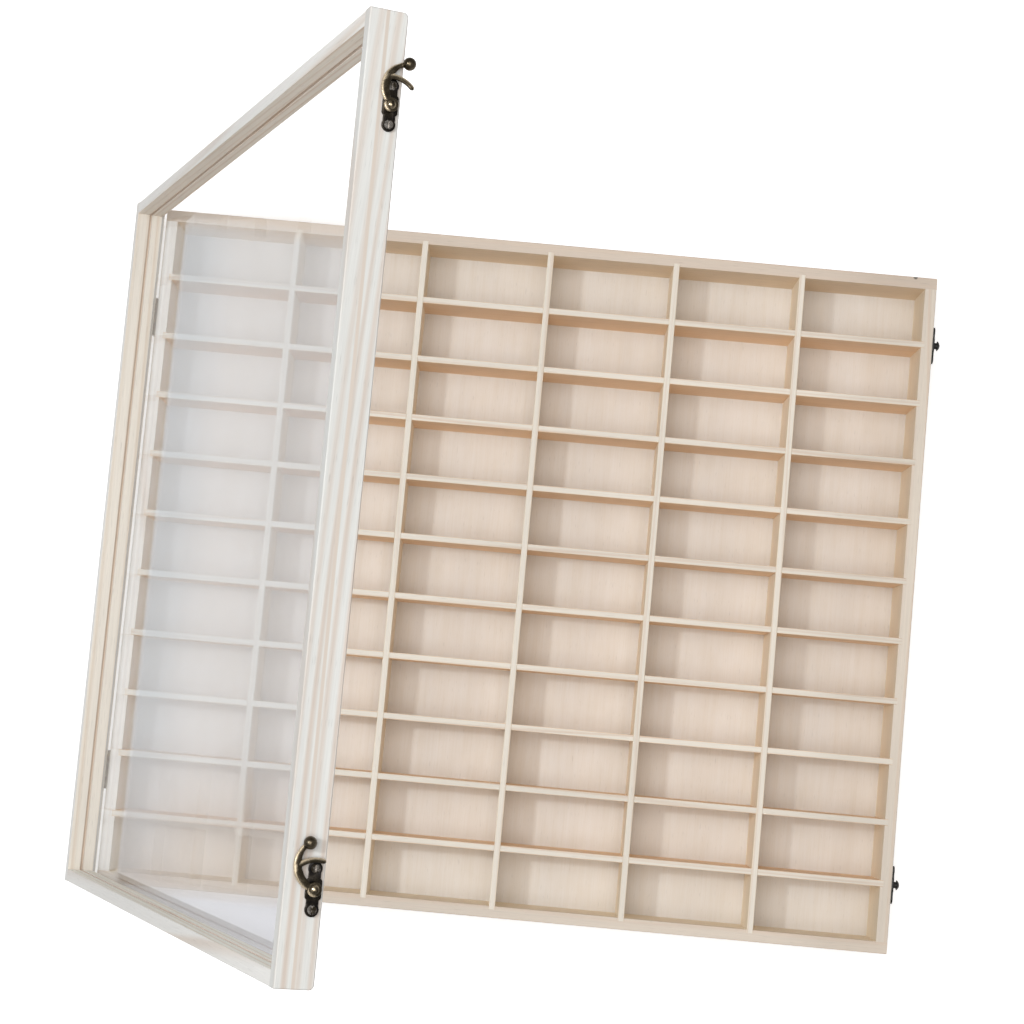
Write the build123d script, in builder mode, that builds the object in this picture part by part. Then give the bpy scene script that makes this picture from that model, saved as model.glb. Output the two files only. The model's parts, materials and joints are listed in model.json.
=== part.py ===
from build123d import *
from math import acos, atan2, degrees
import os

# A display case for small model cars: a shallow pine tray with an egg-crate of thin
# dividers, and a glazed lid of thin boards on edge, hinged along the tray's left side.
# Millimetres, +Z up. The origin is the middle of the tray's underside, X runs along the
# long side and the lid is hinged at -X. The lid is drawn standing part open.

# Compartments
column_count = 6
row_count = 11
compartment_length = 80.0
compartment_width = 35.5
compartment_depth = 42.0

# Tray boards
wall_thickness = 7.5
divider_thickness = 4.0
floor_thickness = 3.0
floor_lap = 4.0
dado_depth = 2.0
slot_clearance = 0.05
edge_break = 0.5
divider_edge_break = 0.3

# Lid
lid_height = 18.5
lid_board = 7.5
lid_gap = 0.3
lid_rest_angle = 69.0
lid_corner_radius = 2.4
panel_thickness = 2.0
panel_recess = 0.4
panel_lap = 4.0
panel_clearance = 0.5
groove_width = 1.9
groove_depth = 1.9
groove_middle = 9.8

# Butt hinges on the left side
hinge_inset = 72.75
hinge_width = 25.0
hinge_leaf_height = 15.0
hinge_leaf_thickness = 1.0
hinge_leaf_start = 2.3
hinge_knuckle_count = 3
hinge_knuckle_gap = 0.2
hinge_barrel_radius = 2.2
hinge_barrel_clearance = 0.3
hinge_pin_radius = 1.0
hinge_screw_spacing = 15.0
hinge_screw_height = 9.0

# Swing-hook latches on the lid's free edge, keepers on the tray's right side
latch_inset = 44.55
latch_pivot_height = 5.0
latch_closed_angle = -85.0
latch_rest_angle_back = -18.0
latch_rest_angle_front = 12.0
strap_lobe_radius = 3.2
strap_screw_offset = 9.1
strap_middle_length = 9.6
strap_middle_width = 7.4
strap_neck_width = 5.6
strap_corner_radius = 1.4
latch_strap_thickness = 1.4
keeper_strap_thickness = 1.4
lever_gap = 0.15
lever_thickness = 1.8
lever_edge_break = 0.4
lever_blend = 1.0
hub_radius = 3.4
ball_radius = 3.05
ball_reach = 20.9
ball_lift = 3.9
arm_rise = 6.6
arm_width = 4.0
hook_inner_radius = 11.7
hook_width = 2.6
hook_tip_angle = -29.0
keeper_neck_radius = 2.1
keeper_head_radius = 3.3
keeper_head_height = 1.8
keeper_hook_clearance = 0.2

# Small fasteners
rivet_radius = 1.2
rivet_head_radius = 2.1
rivet_head_height = 1.2
fixed_clearance = 0.02
running_clearance = 0.06
screw_radius = 1.2
screw_head_radius = 2.1
screw_cover = 0.5
screw_sink = 0.05
countersink_angle = 90.0
screw_slot_width = 0.5
screw_slot_depth = 0.5

# Sizes that follow from the ones above
inner_length = column_count * compartment_length + (column_count - 1) * divider_thickness
inner_width = row_count * compartment_width + (row_count - 1) * divider_thickness
tray_length = inner_length + 2 * wall_thickness
tray_width = inner_width + 2 * wall_thickness
tray_height = floor_thickness + compartment_depth
column_pitch = compartment_length + divider_thickness
row_pitch = compartment_width + divider_thickness
column_lines = [(n - column_count / 2) * column_pitch for n in range(1, column_count)]
row_lines = [(n - row_count / 2) * row_pitch for n in range(1, row_count)]
half_lap = compartment_depth / 2
slot_width = divider_thickness + 2 * slot_clearance
hinge_offset = hinge_barrel_radius + hinge_barrel_clearance
hinge_height = tray_height + lid_gap / 2
hinge_lines = {"back": tray_width / 2 - hinge_inset, "front": hinge_inset - tray_width / 2}
latch_lines = {"back": tray_width / 2 - latch_inset, "front": latch_inset - tray_width / 2}
latch_rest_angles = {"back": latch_rest_angle_back, "front": latch_rest_angle_front}
lid_inner_length = tray_length - 2 * lid_board
lid_inner_width = tray_width - 2 * lid_board
rebate_height = panel_recess + panel_thickness
lever_base = latch_strap_thickness + lever_gap
lever_top = lever_base + lever_thickness
screw_length = wall_thickness - dado_depth + hinge_leaf_thickness - screw_cover
screw_head_depth = screw_head_radius - screw_radius
countersink_radius = screw_head_radius + screw_sink + fixed_clearance
pilot_radius = screw_radius + fixed_clearance
pilot_depth = screw_length - hinge_leaf_thickness + 2 * screw_sink
keeper_drop = hook_inner_radius - keeper_neck_radius - keeper_hook_clearance
keeper_height = tray_height + lid_gap + latch_pivot_height - keeper_drop

# The lever arm's middle line is an arc from the pivot to the ball. The hook leaves the
# arm where its own outer edge crosses that line.
hook_outer_radius = hook_inner_radius + hook_width
arm_line_radius = (ball_reach**2 / 4 + arm_rise**2) / (2 * arm_rise)
arm_line_tilt = degrees(atan2(arm_line_radius - arm_rise, ball_reach / 2))
hook_root_angle = degrees(acos(hook_outer_radius / (2 * arm_line_radius))) - arm_line_tilt

# The lid's own planes. In the lid's frame x runs from the hinge side to the free edge,
# y is the tray's Y and z rises from the lid's underside.
hinge_point = (-tray_length / 2 - hinge_offset, 0, hinge_height)
lid_swing = Location(hinge_point, (0, -lid_rest_angle, 0))
lid_middle = Location((hinge_offset + tray_length / 2, 0, lid_gap / 2))
lid_plane = Plane(lid_swing * lid_middle)
free_edge_plane = Plane(
    origin=lid_plane.from_local_coords(Vector(tray_length / 2, 0, 0)),
    x_dir=(0, 1, 0),
    z_dir=lid_plane.x_dir,
)
hinge_side_plane = Plane(
    origin=lid_plane.from_local_coords(Vector(-tray_length / 2, 0, 0)),
    x_dir=(0, -1, 0),
    z_dir=-lid_plane.x_dir,
)

# The tray's outer faces that carry hardware, each with its x along Y and its y along Z
left_face = Plane(origin=(-tray_length / 2, 0, 0), x_dir=(0, -1, 0), z_dir=(-1, 0, 0))
right_face = Plane(origin=(tray_length / 2, 0, 0), x_dir=(0, 1, 0), z_dir=(1, 0, 0))

# Screw places on those faces, as points of the face's plane
hinge_columns = [
    line + offset
    for line in hinge_lines.values()
    for offset in (-hinge_screw_spacing / 2, hinge_screw_spacing / 2)
]
tray_hinge_points = [(y, hinge_height - hinge_screw_height) for y in hinge_columns]
lid_hinge_points = [(y, hinge_screw_height - lid_gap / 2) for y in hinge_columns]
strap_columns = [
    line + offset
    for line in latch_lines.values()
    for offset in (-strap_screw_offset, strap_screw_offset)
]
latch_points = [(y, latch_pivot_height) for y in strap_columns]
keeper_points = [(y, keeper_height) for y in strap_columns]

os.makedirs("parts", exist_ok=True)


def save(builder, name):
    builder.part.label = name
    export_step(builder.part, f"parts/{name}.step")


# Tray walls: the back and front boards run the full length, the left and right boards
# stand between them. Each has a rebate for the floor and a dado for every divider end.
def long_wall(side):
    with BuildPart() as wall:
        with BuildSketch():
            with Locations((0, side * (inner_width + wall_thickness) / 2)):
                Rectangle(tray_length, wall_thickness)
        extrude(amount=tray_height)
        outer_face = wall.faces().sort_by(Axis.Y)[-1 if side > 0 else 0]
        chamfer(outer_face.edges(), length=edge_break)
        with BuildSketch():
            with Locations((0, side * (inner_width + floor_lap) / 2)):
                Rectangle(inner_length + 2 * floor_lap, floor_lap)
        extrude(amount=floor_thickness, mode=Mode.SUBTRACT)
        with BuildSketch(Plane.XY.offset(floor_thickness)):
            with Locations(*[(x, side * (inner_width + dado_depth) / 2) for x in column_lines]):
                Rectangle(divider_thickness, dado_depth)
        extrude(amount=compartment_depth, mode=Mode.SUBTRACT)
    return wall


def short_wall(side, face_plane, points):
    with BuildPart() as wall:
        with BuildSketch():
            with Locations((side * (inner_length + wall_thickness) / 2, 0)):
                Rectangle(wall_thickness, inner_width)
        extrude(amount=tray_height)
        outer_face = wall.faces().sort_by(Axis.X)[-1 if side > 0 else 0]
        chamfer(outer_face.edges().filter_by(Axis.Y), length=edge_break)
        with BuildSketch():
            with Locations((side * (inner_length + floor_lap) / 2, 0)):
                Rectangle(floor_lap, inner_width)
        extrude(amount=floor_thickness, mode=Mode.SUBTRACT)
        with BuildSketch(Plane.XY.offset(floor_thickness)):
            with Locations(*[(side * (inner_length + dado_depth) / 2, y) for y in row_lines]):
                Rectangle(dado_depth, divider_thickness)
        extrude(amount=compartment_depth, mode=Mode.SUBTRACT)
        with BuildSketch(face_plane):
            with Locations(*points):
                Circle(pilot_radius)
        extrude(amount=-pilot_depth, mode=Mode.SUBTRACT)
    return wall


save(long_wall(1), "tray_wall_back")
save(long_wall(-1), "tray_wall_front")
save(short_wall(-1, left_face, tray_hinge_points), "tray_wall_left")
save(short_wall(1, right_face, keeper_points), "tray_wall_right")

# Plywood floor, let into the rebates so that it is flush with the walls' underside
with BuildPart() as floor_panel:
    with BuildSketch():
        Rectangle(inner_length + 2 * floor_lap, inner_width + 2 * floor_lap)
    extrude(amount=floor_thickness)
save(floor_panel, "floor_panel")


# Egg-crate dividers. The column dividers run along Y and are slotted from below, the row
# dividers run along X and are slotted from above, so they cross at half their height
# with all their top edges level with the walls.
def column_divider(x):
    with BuildPart() as divider:
        with BuildSketch(Plane.XY.offset(floor_thickness)):
            with Locations((x, 0)):
                Rectangle(divider_thickness, inner_width + 2 * dado_depth)
        extrude(amount=compartment_depth)
        top_edges = divider.edges().filter_by(Axis.Y).group_by(Axis.Z)[-1]
        chamfer(top_edges, length=divider_edge_break)
        with BuildSketch(Plane.XY.offset(floor_thickness)):
            with Locations(*[(x, y) for y in row_lines]):
                Rectangle(divider_thickness, slot_width)
        extrude(amount=half_lap, mode=Mode.SUBTRACT)
    return divider


def row_divider(y):
    with BuildPart() as divider:
        with BuildSketch(Plane.XY.offset(floor_thickness)):
            with Locations((0, y)):
                Rectangle(inner_length + 2 * dado_depth, divider_thickness)
        extrude(amount=compartment_depth)
        top_edges = divider.edges().filter_by(Axis.X).group_by(Axis.Z)[-1]
        chamfer(top_edges, length=divider_edge_break)
        with BuildSketch(Plane.XY.offset(floor_thickness + half_lap)):
            with Locations(*[(x, y) for x in column_lines]):
                Rectangle(slot_width, divider_thickness)
        extrude(amount=half_lap, mode=Mode.SUBTRACT)
    return divider


for number, x in enumerate(column_lines, start=1):
    save(column_divider(x), f"column_divider_{number}")

for number, y in enumerate(reversed(row_lines), start=1):
    save(row_divider(y), f"row_divider_{number}")


# Lid frame: four boards on edge. The hinge stile and the free rail run the full width,
# the back and front rails stand between them. A rebate under each board holds the clear
# panel, and a narrow groove runs round the inner faces at half height.
def lid_cross_board(side, face_plane, points, hole_radius):
    with BuildPart() as board:
        with BuildSketch(lid_plane):
            with Locations((side * (tray_length - lid_board) / 2, 0)):
                Rectangle(lid_board, tray_width)
        extrude(amount=lid_height)
        inward = Axis(lid_plane.origin, lid_plane.z_dir)
        under_ends = board.edges().filter_by(Axis(lid_plane.origin, lid_plane.x_dir))
        fillet(under_ends.group_by(inward)[0], radius=lid_corner_radius)
        outer_face = board.faces().sort_by(Axis(lid_plane.origin, lid_plane.x_dir * side))[-1]
        chamfer(outer_face.edges(), length=edge_break)
        with BuildSketch(lid_plane):
            with Locations((side * (lid_inner_length + panel_lap) / 2, 0)):
                Rectangle(panel_lap, lid_inner_width + 2 * panel_lap)
        extrude(amount=rebate_height, mode=Mode.SUBTRACT)
        with BuildSketch(lid_plane.offset(groove_middle - groove_width / 2)):
            with Locations((side * (lid_inner_length + groove_depth) / 2, 0)):
                Rectangle(groove_depth, lid_inner_width)
        extrude(amount=groove_width, mode=Mode.SUBTRACT)
        with BuildSketch(face_plane):
            with Locations(*points):
                Circle(hole_radius)
        extrude(amount=-pilot_depth, mode=Mode.SUBTRACT)
    return board


def lid_long_board(side):
    with BuildPart() as board:
        with BuildSketch(lid_plane):
            with Locations((0, side * (tray_width - lid_board) / 2)):
                Rectangle(lid_inner_length, lid_board)
        extrude(amount=lid_height)
        upward = Axis(lid_plane.origin, lid_plane.z_dir)
        outer_face = board.faces().sort_by(Axis.Y)[-1 if side > 0 else 0]
        long_edges = outer_face.edges().filter_by(Axis(lid_plane.origin, lid_plane.x_dir))
        fillet(long_edges.group_by(upward)[0], radius=lid_corner_radius)
        outer_face = board.faces().sort_by(Axis.Y)[-1 if side > 0 else 0]
        long_edges = outer_face.edges().filter_by(Axis(lid_plane.origin, lid_plane.x_dir))
        chamfer(long_edges.group_by(upward)[-1], length=edge_break)
        with BuildSketch(lid_plane):
            with Locations((0, side * (lid_inner_width + panel_lap) / 2)):
                Rectangle(lid_inner_length, panel_lap)
        extrude(amount=rebate_height, mode=Mode.SUBTRACT)
        with BuildSketch(lid_plane.offset(groove_middle - groove_width / 2)):
            with Locations((0, side * (lid_inner_width + groove_depth) / 2)):
                Rectangle(lid_inner_length, groove_depth)
        extrude(amount=groove_width, mode=Mode.SUBTRACT)
    return board


save(lid_cross_board(-1, hinge_side_plane, lid_hinge_points, pilot_radius), "lid_hinge_stile")
save(lid_cross_board(1, free_edge_plane, latch_points, pilot_radius), "lid_free_rail")
save(lid_long_board(1), "lid_rail_back")
save(lid_long_board(-1), "lid_rail_front")

# Clear panel, glued against the shoulders of the rebates
panel_margin = 2 * (panel_lap - panel_clearance)
with BuildPart() as lid_panel:
    with BuildSketch(lid_plane.offset(panel_recess)):
        Rectangle(lid_inner_length + panel_margin, lid_inner_width + panel_margin)
    extrude(amount=panel_thickness)
save(lid_panel, "lid_panel")


# Butt hinges. The leaf plane has its origin on the pin's axis, its x along the pin, its
# y away from the barrel along the leaf, and its z away from the board.
def hinge_leaf(leaf_plane, own_knuckles):
    knuckle_pitch = hinge_width / hinge_knuckle_count
    knuckle_length = knuckle_pitch - hinge_knuckle_gap
    centres = [(n - (hinge_knuckle_count - 1) / 2) * knuckle_pitch for n in own_knuckles]
    leaf_middle = (hinge_leaf_height + hinge_leaf_start) / 2
    with BuildPart() as leaf:
        with BuildSketch(leaf_plane.offset(-hinge_offset)):
            with Locations((0, leaf_middle)):
                RectangleRounded(hinge_width, hinge_leaf_height - hinge_leaf_start, edge_break)
            with Locations(*[(x, hinge_leaf_start / 2 + edge_break) for x in centres]):
                Rectangle(knuckle_length, hinge_leaf_start + 2 * edge_break)
        extrude(amount=hinge_leaf_thickness)
        with Locations(leaf_plane.offset(hinge_leaf_thickness - hinge_offset)):
            with GridLocations(hinge_screw_spacing, 0, 2, 1):
                with Locations((0, hinge_screw_height)):
                    CounterSinkHole(
                        pilot_radius, countersink_radius, counter_sink_angle=countersink_angle
                    )
        for x in centres:
            start = x - knuckle_length / 2
            end_plane = Plane(
                origin=leaf_plane.from_local_coords(Vector(start, 0, 0)),
                z_dir=leaf_plane.x_dir,
            )
            with BuildSketch(end_plane):
                Circle(hinge_barrel_radius)
            extrude(amount=knuckle_length)
        pin_plane = Plane(
            origin=leaf_plane.from_local_coords(Vector(-hinge_width / 2, 0, 0)),
            z_dir=leaf_plane.x_dir,
        )
        with BuildSketch(pin_plane):
            Circle(hinge_pin_radius + running_clearance)
        extrude(amount=hinge_width, mode=Mode.SUBTRACT)
    return leaf


outer_knuckles = range(0, hinge_knuckle_count, 2)
inner_knuckles = range(1, hinge_knuckle_count, 2)
for place, y in hinge_lines.items():
    pin_middle = (hinge_point[0], y, hinge_height)
    tray_leaf_plane = Plane(origin=pin_middle, x_dir=(0, 1, 0), z_dir=(-1, 0, 0))
    lid_leaf_plane = Plane(origin=pin_middle, x_dir=(0, -1, 0), z_dir=-lid_plane.x_dir)
    save(hinge_leaf(tray_leaf_plane, outer_knuckles), f"hinge_{place}_tray_leaf")
    save(hinge_leaf(lid_leaf_plane, inner_knuckles), f"hinge_{place}_lid_leaf")
    with BuildPart() as hinge_pin:
        with BuildSketch(Plane(origin=pin_middle, z_dir=(0, 1, 0))):
            Circle(hinge_pin_radius)
        extrude(amount=hinge_width / 2, both=True)
    save(hinge_pin, f"hinge_{place}_pin")


# Straps of the latches and keepers: a broad middle and a round lobe at each end, with a
# countersunk hole in each lobe and a round hole in the middle.
def strap(strap_plane, thickness):
    with BuildPart() as body:
        with BuildSketch(strap_plane):
            RectangleRounded(strap_middle_length, strap_middle_width, strap_corner_radius)
            Rectangle(2 * strap_screw_offset, strap_neck_width)
            with GridLocations(2 * strap_screw_offset, 0, 2, 1):
                Circle(strap_lobe_radius)
        extrude(amount=thickness)
        with Locations(strap_plane.offset(thickness)):
            with GridLocations(2 * strap_screw_offset, 0, 2, 1):
                CounterSinkHole(
                    pilot_radius, countersink_radius, counter_sink_angle=countersink_angle
                )
            Hole(rivet_radius + fixed_clearance)
    return body


# The lever: a hub on the rivet, an arm that bows away from the tray and ends in a ball,
# and a hook curved round the pivot that swings in behind the keeper's head.
def swing_lever(lever_plane):
    crest = (ball_reach - ball_radius) / 2
    outer_start = (-hub_radius / 2, hub_radius / 2)
    outer_middle = (crest, arm_rise + arm_width / 2)
    outer_end = (ball_reach - ball_radius / 3, ball_radius / 3)
    inner_start = (hub_radius / 2, 0)
    inner_middle = (crest + hook_width / 2, arm_rise - arm_width / 2)
    inner_end = (ball_reach - 2 * ball_radius / 3, -ball_radius / 3)
    hook_span = hook_root_angle - hook_tip_angle
    hook_radius = (hook_inner_radius + hook_outer_radius) / 2
    hook_tip = Vector(hook_radius, 0).rotate(Axis.Z, hook_tip_angle)
    with BuildPart() as lever:
        with BuildSketch(lever_plane.offset(lever_base)) as outline:
            with BuildLine():
                ThreePointArc(outer_start, outer_middle, outer_end)
                Line(outer_end, inner_end)
                ThreePointArc(inner_end, inner_middle, inner_start)
                Line(inner_start, outer_start)
            make_face()
            with BuildLine():
                inner_arc = CenterArc((0, 0), hook_inner_radius, hook_tip_angle, hook_span)
                outer_arc = CenterArc((0, 0), hook_outer_radius, hook_tip_angle, hook_span)
                Line(inner_arc @ 0, outer_arc @ 0)
                Line(inner_arc @ 1, outer_arc @ 1)
            make_face()
            with Locations((hook_tip.X, hook_tip.Y)):
                Circle((hook_outer_radius - hook_inner_radius) / 2)
            Circle(hub_radius)
            corners = outline.vertices().filter_by_position(
                Axis.Y, 2 * lever_blend, hook_inner_radius
            )
            fillet(corners, radius=lever_blend)
        extrude(amount=lever_thickness)
        outward = Axis(lever_plane.origin, lever_plane.z_dir)
        chamfer(lever.faces().sort_by(outward)[-1].edges(), length=lever_edge_break)
        with BuildSketch(lever_plane.offset(lever_base)):
            Circle(rivet_radius + running_clearance)
        extrude(amount=lever_thickness, mode=Mode.SUBTRACT)
        with Locations(lever_plane.location * Location((ball_reach, 0, ball_lift))):
            Sphere(ball_radius)
    return lever


# A round-headed stud on its plane: a shank, a wider neck and a domed head
def headed_stud(stud_plane, neck_radius, neck_start, head_start, head_radius, head_height):
    head_plane = stud_plane.offset(head_start)
    section = Plane(origin=head_plane.origin, x_dir=head_plane.x_dir, z_dir=-head_plane.y_dir)
    with BuildPart() as stud:
        with BuildSketch(stud_plane):
            Circle(rivet_radius)
        extrude(amount=head_start)
        with BuildSketch(stud_plane.offset(neck_start)):
            Circle(neck_radius)
        extrude(amount=head_start - neck_start)
        with BuildSketch(section):
            with BuildLine():
                Polyline((0, head_height), (0, 0), (head_radius, 0))
                TangentArc((0, head_height), (head_radius, 0), tangent=(1, 0))
            make_face()
        revolve(axis=Axis(stud_plane.origin, stud_plane.z_dir))
    return stud


for place, y in latch_lines.items():
    latch_plane = Plane(free_edge_plane.location * Location((y, latch_pivot_height, 0)))
    turn = Location((0, 0, 0), (0, 0, latch_rest_angles[place]))
    keeper_plane = Plane(right_face.location * Location((y, keeper_height, 0)))
    rivet = headed_stud(
        latch_plane, rivet_radius, 0, lever_top + lever_gap, rivet_head_radius, rivet_head_height
    )
    stud = headed_stud(
        keeper_plane,
        keeper_neck_radius,
        keeper_strap_thickness,
        lever_top + keeper_hook_clearance,
        keeper_head_radius,
        keeper_head_height,
    )
    save(strap(latch_plane, latch_strap_thickness), f"latch_{place}_strap")
    save(swing_lever(Plane(latch_plane.location * turn)), f"latch_{place}_lever")
    save(rivet, f"latch_{place}_rivet")
    save(strap(keeper_plane, keeper_strap_thickness), f"keeper_{place}_strap")
    save(stud, f"keeper_{place}_stud")

# One small countersunk screw, its slotted head's top at the origin and its tip down
with BuildPart() as screw:
    with BuildSketch(Plane.XZ):
        with BuildLine():
            Polyline(
                (0, 0),
                (screw_head_radius, 0),
                (screw_radius, -screw_head_depth),
                (screw_radius, -screw_length),
                (0, -screw_length),
                (0, 0),
            )
        make_face()
    revolve(axis=Axis.Z)
    with BuildSketch():
        Rectangle(2 * screw_head_radius, screw_slot_width)
    extrude(amount=-screw_slot_depth, mode=Mode.SUBTRACT)


def screw_set(face_plane, points, thickness):
    head_plane = face_plane.offset(thickness - screw_sink)
    with BuildPart() as screws:
        with Locations(*[head_plane.location * Location((x, y, 0)) for x, y in points]):
            add(screw.part)
    return screws


save(screw_set(left_face, tray_hinge_points, hinge_leaf_thickness), "tray_hinge_screws")
save(screw_set(hinge_side_plane, lid_hinge_points, hinge_leaf_thickness), "lid_hinge_screws")
save(screw_set(free_edge_plane, latch_points, latch_strap_thickness), "latch_screws")
save(screw_set(right_face, keeper_points, keeper_strap_thickness), "keeper_screws")

# Where the moving pieces turn, for whoever joins them
print("lid hinge point", hinge_point)
for place, y in latch_lines.items():
    pivot = free_edge_plane.from_local_coords(Vector(y, latch_pivot_height, 0))
    print("latch", place, "pivot", [round(c, 4) for c in pivot], "axis", lid_plane.x_dir)
    swing = latch_closed_angle - latch_rest_angles[place]
    print("latch", place, "turn to closed", swing)
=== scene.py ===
import json
import math

import bmesh
import bpy
from bpy.props import FloatProperty, FloatVectorProperty, PointerProperty
from bpy.types import Operator, Panel, PropertyGroup
from mathutils import Euler, Matrix, Vector
from mathutils.kdtree import KDTree


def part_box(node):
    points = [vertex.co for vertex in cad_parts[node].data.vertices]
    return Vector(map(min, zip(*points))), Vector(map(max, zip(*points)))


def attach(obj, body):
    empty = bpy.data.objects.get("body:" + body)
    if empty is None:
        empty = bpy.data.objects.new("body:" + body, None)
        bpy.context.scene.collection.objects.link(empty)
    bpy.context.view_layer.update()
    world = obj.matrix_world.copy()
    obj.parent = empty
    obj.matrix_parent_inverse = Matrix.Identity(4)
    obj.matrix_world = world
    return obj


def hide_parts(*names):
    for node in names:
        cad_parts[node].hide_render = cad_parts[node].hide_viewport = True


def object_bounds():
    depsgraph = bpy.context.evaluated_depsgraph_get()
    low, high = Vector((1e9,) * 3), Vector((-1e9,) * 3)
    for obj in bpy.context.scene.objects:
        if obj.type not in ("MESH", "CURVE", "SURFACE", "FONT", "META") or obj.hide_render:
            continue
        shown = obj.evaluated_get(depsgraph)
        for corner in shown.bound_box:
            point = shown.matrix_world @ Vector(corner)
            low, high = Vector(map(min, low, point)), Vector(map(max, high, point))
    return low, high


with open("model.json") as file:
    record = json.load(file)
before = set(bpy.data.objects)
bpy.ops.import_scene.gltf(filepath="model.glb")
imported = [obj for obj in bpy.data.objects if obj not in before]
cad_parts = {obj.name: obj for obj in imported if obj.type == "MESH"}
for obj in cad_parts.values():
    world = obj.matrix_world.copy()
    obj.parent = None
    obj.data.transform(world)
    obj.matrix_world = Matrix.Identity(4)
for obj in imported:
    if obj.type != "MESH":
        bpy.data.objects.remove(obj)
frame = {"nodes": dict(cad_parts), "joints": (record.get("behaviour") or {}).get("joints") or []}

bl_info = {
    "name": "Model Car Display Case",
    "version": (1, 0, 0),
    "blender": (4, 5, 0),
    "location": "View3D > Sidebar > Display Case",
    "description": "Finishes a divided wooden display case with a clear lid and bronze latches",
    "category": "Object",
}

CAD_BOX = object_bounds()

MM = 0.001
# Vertex layer of rubbed wear along the lever's outer sides, which also paints a highlight
RUBBED_HIGHLIGHT = "Rubbed"
PLACES = ("back", "front")
JOINTS = {joint["name"]: joint for joint in frame["joints"]}

# The lid stands open at rest: the direction along its back and front rails, and its tilt
LID_ALONG = Vector(JOINTS["latch_back_swing"]["axis"]).normalized()
LID_TILT = math.atan2(LID_ALONG.z, LID_ALONG.x)
HINGE_PLACE = Vector(JOINTS["lid_swing"]["pos_m"])

# Half width of a board's groove, and where its colour has faded out
GROOVE_HALF, GROOVE_END = 0.6 * MM, 1.1 * MM
# Radius of the dark mark in the back wall, where it has faded out, and its place in from the
# wall's corner and from its face
MARK_RADIUS, MARK_END = 1.0 * MM, 1.8 * MM
MARK_INSET, MARK_DEPTH = 14.5 * MM, 0.2 * MM
MARK_COLOUR = (0.16, 0.14, 0.12)
# Share of an inner face's painted shading (light and shade set by which way the face looks)
# against the board's grain
SHADING_SHARE = 0.75

# The clear panel's film of dust, with bands of painted shade and light, changes between these
# limits, in metres: heights up the sheet from the hinge (painted shade along the stile's foot,
# painted light above it and at the foot, a painted shadow beside the stile, and where it thins),
STILE_FOOT_SHADE_BAND = (0.026, 0.031)
FACE_LIGHT_BAND = (0.056, 0.064)
FOOT_BAND = (0.07, 0.1)
STILE_SHADOW_BAND = (0.11, 0.26)
THIN_HEIGHTS = (0.05, 0.4)
# places along Y, where the painted shade towards the front also wanders by a noise of some size,
THIN_BAND = (-0.12, -0.2)
FRONT_SHADE_BAND, FRONT_SHADE_DRIFT = (-0.06, -0.2), 0.08
# and places along Y that lean by a share of the height above the tray's underside: where the
# sheet is clean, and past the tray's front, where the film paints shade.
CLEAN_BAND, CLEAN_LEAN = (0.218, 0.238), 0.21
PAST_BAND, PAST_LEAN = (-0.222, -0.232), -0.081
# Share of the light that the film meets at the foot, where it thins out and where it is clean
FOOT_COVER, THIN_COVER, CLEAN_COVER = 0.5, 0.5, 0.12
# Layer Weight's Facing where a view turns from straight to slanting. A ray runs steeper inside
# the sheet, so its far side has other limits. One that meets the far side at a lower angle than
# the last one came straight through, and goes on straight.
NEAR_SLANT, FAR_SLANT, STRAIGHT_FACING = (0.3, 0.69), (0.12, 0.225), 0.268

# Shares of the lever arm's length: where its sections start, how far they go, and its neck
ARM_START, ARM_SPAN, NECK_START = 0.12, 0.85, 0.8
# Power of the arm's swell, and share of the ball's lift that the neck rises by
SWELL_POWER, NECK_LIFT = 0.7, 0.6
# The hook's angles round the rivet, how much it narrows, and where its tip starts to close
HOOK_ROOT, HOOK_TIP = math.radians(25), math.radians(-31)
HOOK_NARROWING, HOOK_TIP_START = 0.12, 0.9
# Power that squares a round section off, 0 for none
SQUARENESS = -0.35
CASTING_VOXEL, CASTING_PASSES = 0.16 * MM, 3
HUB_EASE, LATCH_EASE, KEEPER_EASE = 0.45 * MM, 0.22 * MM, 0.2 * MM

# What the lamps point at, and the floor's gap under the case
LAMP_TARGET = Vector((0, 0, 0.05))
FLOOR_GAP = 0.2 * MM


def colour(name, description, default):
    return FloatVectorProperty(
        name=name, description=description, default=default, subtype="COLOR", size=3, min=0, max=1
    )


def length(name, description, default):
    return FloatProperty(
        name=name, description=description, default=default, unit="LENGTH", subtype="DISTANCE"
    )


def location(name, description, default):
    return FloatVectorProperty(
        name=name, description=description, default=default, size=3, subtype="TRANSLATION"
    )


def share(name, description, default):
    return FloatProperty(
        name=name, description=description, default=default, min=0, max=1, subtype="FACTOR"
    )


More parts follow.
